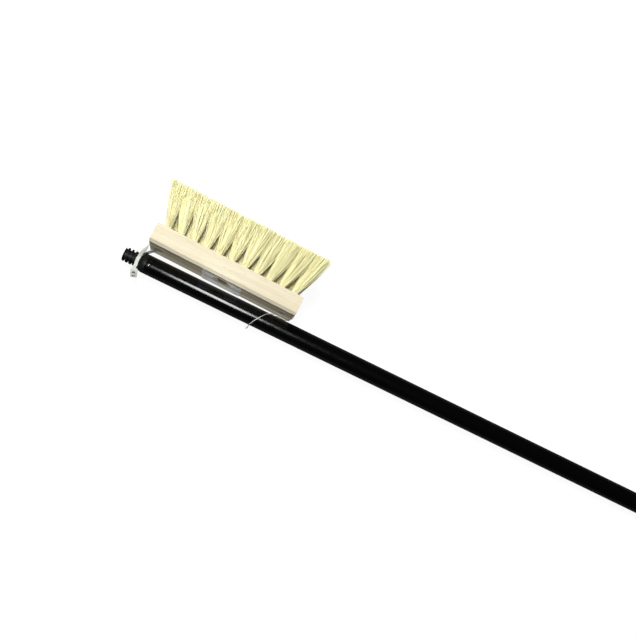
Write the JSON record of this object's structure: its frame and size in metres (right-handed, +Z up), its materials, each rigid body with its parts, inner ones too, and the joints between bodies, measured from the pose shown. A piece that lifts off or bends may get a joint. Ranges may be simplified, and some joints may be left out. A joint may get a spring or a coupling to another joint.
{
  "type": "pool wall brush",
  "caption": "Wooden pool scrub brush head with stiff plant-fibre tufts, tied alongside its black threaded tube handle for storage.",
  "frame": {"origin": "on the floor, under the middle of the whole brush's bounding box", "axes": "+X along the handle from its threaded tip to its capped end, +Y from the handle towards the bristle tips, +Z up from the floor"},
  "size_m": [1.219, 0.1277, 0.074],
  "materials": {
    "wood": "smooth, unfinished pale hardwood",
    "bristle": "dry plant fibre",
    "zinc_steel": "dull zinc plate",
    "black_tube": "high gloss",
    "black_plastic": "moulded, satin",
    "black_rubber": "smooth vinyl",
    "rivet_metal": "polished",
    "nylon": "translucent natural nylon",
    "wire_steel": "bright galvanised"
  },
  "bodies": {
    "brush_head": {"brush_block": "wood", "socket_plate": "zinc_steel", "plate_screws": "zinc_steel", "bristle_row_1": "bristle", "bristle_row_2": "bristle", "bristle_row_3": "bristle", "bristle_row_4": "bristle", "bristle_row_5": "bristle", "tuft_anchors_1": "zinc_steel", "tuft_anchors_2": "zinc_steel", "tuft_anchors_3": "zinc_steel", "tuft_anchors_4": "zinc_steel", "tuft_anchors_5": "zinc_steel", "cable_tie": "nylon", "twist_wire": "wire_steel"},
    "handle": {"handle_tube": "black_tube", "threaded_tip": "black_plastic", "tip_rivet": "rivet_metal", "end_cap": "black_rubber"},
    "tie_pawl": {"cable_tie_pawl": "nylon"}
  },
  "joints": [
    {"name": "handle_spin", "type": "hinge", "parent": "brush_head", "child": "handle", "pos_m": [-0.6095, -0.03803, 0.0142], "axis": [1, 0, 0], "continuous": true},
    {"name": "tie_pawl_flex", "type": "hinge", "parent": "brush_head", "child": "tie_pawl", "pos_m": [-0.58742, -0.05498, 0.01985], "axis": [-0.9397, -0.342, 0], "range_deg": [0, 15], "stiffness_Nm_per_rad": 0.002}
  ]
}
